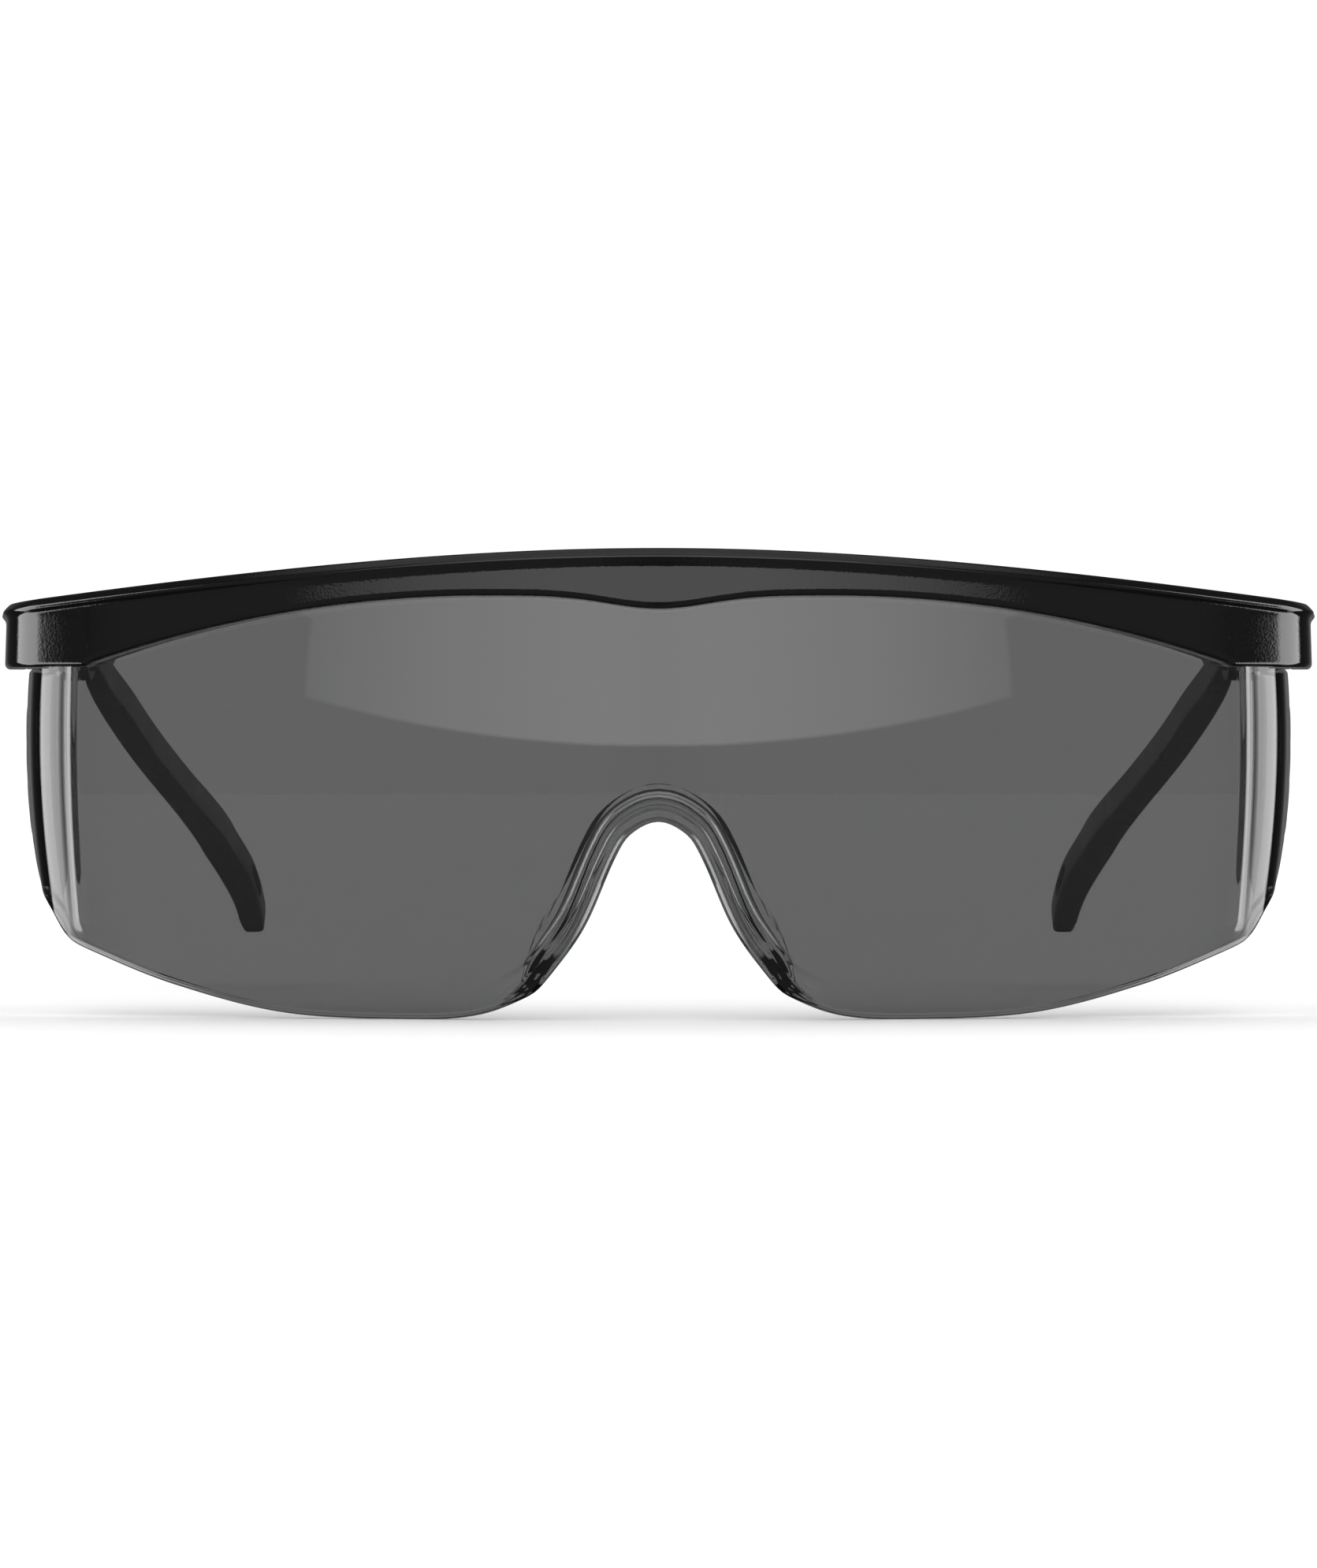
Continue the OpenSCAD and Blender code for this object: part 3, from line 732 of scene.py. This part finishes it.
# Angles are in degrees, with yaw from the viewer; places are in metres
BACKDROP_GLOW, DIM_STUDIO, DARK_STUDIO = 1.05, 0.19, 0.05
FILL_GLOW = (0.2, 1.25)              # from below and from above
FRONT_BOX_YAW, FRONT_BOX_PITCH, FRONT_BOX_SAG = 34, (-1.2, 55), 6
FRONT_BOX_GLOW, FRONT_BOX_FADE = 1.45, 0.72
SIDE_BOX_YAW, SIDE_BOX_PITCH, SIDE_BOX_GLOW = (60, 112), (-50, 50), 5.0
REAR_BOX_YAW, REAR_BOX_PITCH = 140, (-20, 60)
REAR_BOX_GLOW = (0.07, 0.4)          # and what it adds when seen through the lens
TOP_BOX_PITCH, TOP_BOX_GLOW = 62, 0.5
ALL_ROUND = 200                      # more than any angle
CAMERA_DISTANCE, CAMERA_Z = 0.76, 0.0265
FOCAL_LENGTH = 156.6                 # in millimetres, behind a frame 36 mm wide


def build_floor(z):
    reach = 20
    points = [(x * reach, y * reach, z) for x, y in ((-1, -1), (1, -1), (1, 1), (-1, 1))]
    mesh = bpy.data.meshes.new("floor")
    mesh.from_pydata(points, [], [(0, 1, 2, 3)])
    floor = bpy.data.objects.new("floor", mesh)
    bpy.context.scene.collection.objects.link(floor)
    floor.visible_glossy = False
    floor.visible_diffuse = False
    material, nodes, _ = new_material("floor_paper")
    shader = nodes["Principled BSDF"]
    shader.inputs["Base Color"].default_value = (0.9, 0.9, 0.9, 1)
    shader.inputs["Roughness"].default_value = 0.9
    shader.inputs["Specular IOR Level"].default_value = 0.1
    mesh.materials.append(material)


class Sums:
    """Arithmetic in a node tree: each call adds one Math node and returns its output."""

    def __init__(self, tree):
        self.nodes, self.links = tree.nodes, tree.links

    def __call__(self, operation, *values, clamp=False):
        node = self.nodes.new("ShaderNodeMath")
        node.operation = operation
        node.use_clamp = clamp
        for slot, value in zip(node.inputs, values):
            if isinstance(value, (int, float)):
                slot.default_value = value
            else:
                self.links.new(value, slot)
        return node.outputs["Value"]

    def window(self, value, low, high, soft):
        """1 where value lies between low and high, falling to 0 over soft on either side."""
        rise = self("DIVIDE", self("SUBTRACT", value, low), soft, clamp=True)
        fall = self("DIVIDE", self("SUBTRACT", high, value), soft, clamp=True)
        return self("MULTIPLY", rise, fall)


def build_world():
    """White behind the object and as fill light. Reflections see a dark studio with a wide softbox in front,
    a tall one at each side, one overhead and a dim one behind, which is brighter when seen through the lens."""
    world = bpy.data.worlds.new("studio")
    bpy.context.scene.world = world
    world.use_nodes = True
    world.cycles.sampling_method = "NONE"               # so that each kind of ray meets its own studio
    tree = world.node_tree
    nodes, links = tree.nodes, tree.links
    sums = Sums(tree)
    where = nodes.new("ShaderNodeTexCoord")
    parts = nodes.new("ShaderNodeSeparateXYZ")
    links.new(where.outputs["Generated"], parts.inputs["Vector"])
    x, y, z = (parts.outputs[axis] for axis in "XYZ")
    to_deg = 180 / math.pi
    yaw = sums("MULTIPLY", sums("ARCTAN2", sums("ABSOLUTE", x), sums("MULTIPLY", y, -1)), to_deg)
    pitch = sums("MULTIPLY", sums("ARCSINE", z), to_deg)

    aside = sums("POWER", sums("DIVIDE", yaw, FRONT_BOX_YAW), 2)
    sag = sums("MULTIPLY", aside, FRONT_BOX_SAG)
    front = sums("MULTIPLY", sums.window(yaw, -1, FRONT_BOX_YAW, 0.5),
                 sums.window(sums("SUBTRACT", pitch, sag), *FRONT_BOX_PITCH, 0.5))
    fade = sums("SUBTRACT", 1, sums("MULTIPLY", aside, FRONT_BOX_FADE))
    front = sums("MULTIPLY", sums("MULTIPLY", front, fade), FRONT_BOX_GLOW)
    sides = sums("MULTIPLY", sums.window(yaw, *SIDE_BOX_YAW, 6), sums.window(pitch, *SIDE_BOX_PITCH, 10))
    sides = sums("MULTIPLY", sides, SIDE_BOX_GLOW)
    path = nodes.new("ShaderNodeLightPath")
    through = sums("GREATER_THAN", path.outputs["Transmission Depth"], 1)
    rear = sums("MULTIPLY", sums.window(yaw, REAR_BOX_YAW, ALL_ROUND, 15), sums.window(pitch, *REAR_BOX_PITCH, 10))
    rear = sums("MULTIPLY", rear, sums("ADD", REAR_BOX_GLOW[0], sums("MULTIPLY", through, REAR_BOX_GLOW[1])))
    boxes = sums("ADD", front, sums("ADD", sides, rear))
    above = sums("MULTIPLY", sums.window(pitch, TOP_BOX_PITCH, ALL_ROUND, 8), TOP_BOX_GLOW)
    ahead = sums("MULTIPLY", sums.window(yaw, -1, SIDE_BOX_YAW[0], 6), DIM_STUDIO - DARK_STUDIO)
    glow = sums("ADD", boxes, sums("ADD", above, sums("ADD", ahead, DARK_STUDIO)))
    fill = sums("MULTIPLY", sums.window(pitch, -3, ALL_ROUND, 6), FILL_GLOW[1] - FILL_GLOW[0])
    fill = sums("ADD", fill, FILL_GLOW[0])

    def background(strength):
        node = nodes.new("ShaderNodeBackground")
        node.inputs["Color"].default_value = (1, 1, 1, 1)
        if isinstance(strength, (int, float)):
            node.inputs["Strength"].default_value = strength
        else:
            links.new(strength, node.inputs["Strength"])
        return node.outputs["Background"]

    def choose(factor, otherwise, chosen):
        node = nodes.new("ShaderNodeMixShader")
        links.new(factor, node.inputs["Fac"])
        links.new(otherwise, node.inputs[1])
        links.new(chosen, node.inputs[2])
        return node.outputs["Shader"]

    mirrored = sums("SUBTRACT", path.outputs["Is Glossy Ray"], path.outputs["Is Transmission Ray"], clamp=True)
    seen = choose(mirrored, background(BACKDROP_GLOW), background(glow))
    links.new(choose(path.outputs["Is Diffuse Ray"], seen, background(fill)),
              nodes["World Output"].inputs["Surface"])


def build_camera():
    """Level with the middle of the object and square to it, with a long lens."""
    data = bpy.data.cameras.new("camera")
    data.sensor_width = 36
    data.lens = FOCAL_LENGTH
    data.clip_start, data.clip_end = 0.01, 100
    camera = bpy.data.objects.new("camera", data)
    camera.location = (0, FRONT_Y * MM - CAMERA_DISTANCE, CAMERA_Z)
    camera.rotation_euler = (math.pi / 2, 0, 0)
    bpy.context.scene.collection.objects.link(camera)
    bpy.context.scene.camera = camera


build_floor(0.0)
build_world()
build_camera()
bpy.context.scene.view_settings.view_transform = "Standard"
